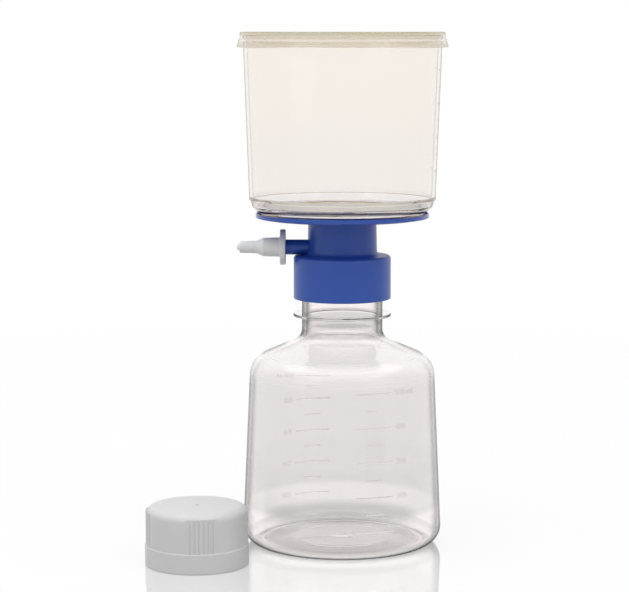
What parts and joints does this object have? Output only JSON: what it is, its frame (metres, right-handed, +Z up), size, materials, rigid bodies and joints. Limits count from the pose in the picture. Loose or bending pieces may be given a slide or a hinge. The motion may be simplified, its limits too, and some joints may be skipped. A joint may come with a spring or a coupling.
{
  "type": "vacuum filtration unit",
  "caption": "Clear funnel with lift-off lid on a blue holder with side arm, screwed onto a clear receiver bottle; the bottle's ribbed cap stands beside it.",
  "frame": {"origin": "centre of the bottle's standing ring, in the plane that the unit stands on", "axes": "+Z up along the axis of bottle, holder and funnel; the side arm and hose adapter point along -X; -Y is the front, where the cap stands"},
  "size_m": [0.1428, 0.1214, 0.2476],
  "materials": {
    "clear_bottle": "clear moulded plastic, glossy",
    "clear_funnel": "clear moulded plastic with a faint cream tint, glossy",
    "blue_plastic": "semi-gloss blue moulded plastic",
    "grey_plastic": "satin light grey moulded plastic",
    "natural_plastic": "satin, slightly translucent grey-white plastic",
    "membrane_white": "matt white microporous film",
    "gasket_rubber": "matt white elastomer",
    "cotton": "loose white fibre"
  },
  "bodies": {
    "bottle_body": {"bottle": "clear_bottle", "cap": "grey_plastic"},
    "seal": {"neck_gasket": "gasket_rubber"},
    "head": {"filter_holder": "blue_plastic", "hose_adapter": "natural_plastic", "cotton_plug": "cotton", "membrane": "membrane_white", "funnel": "clear_funnel"},
    "cover": {"lid": "clear_funnel"}
  },
  "joints": [
    {"name": "head_rise", "type": "slide", "parent": "bottle_body", "child": "seal", "axis": [0, 0, 1], "range_m": [0, 0.01376]},
    {"name": "head_turn", "type": "hinge", "parent": "seal", "child": "head", "pos_m": [0, 0, 0.15], "axis": [0, 0, 1], "range_deg": [0, 990]},
    {"name": "lid_lift", "type": "slide", "parent": "head", "child": "cover", "axis": [0, 0, 1], "range_m": [0, 0.03]}
  ],
  "couplings": [
    {"joint": "head_rise", "follows": "head_turn", "m_per_rad": 0.00079577}
  ]
}
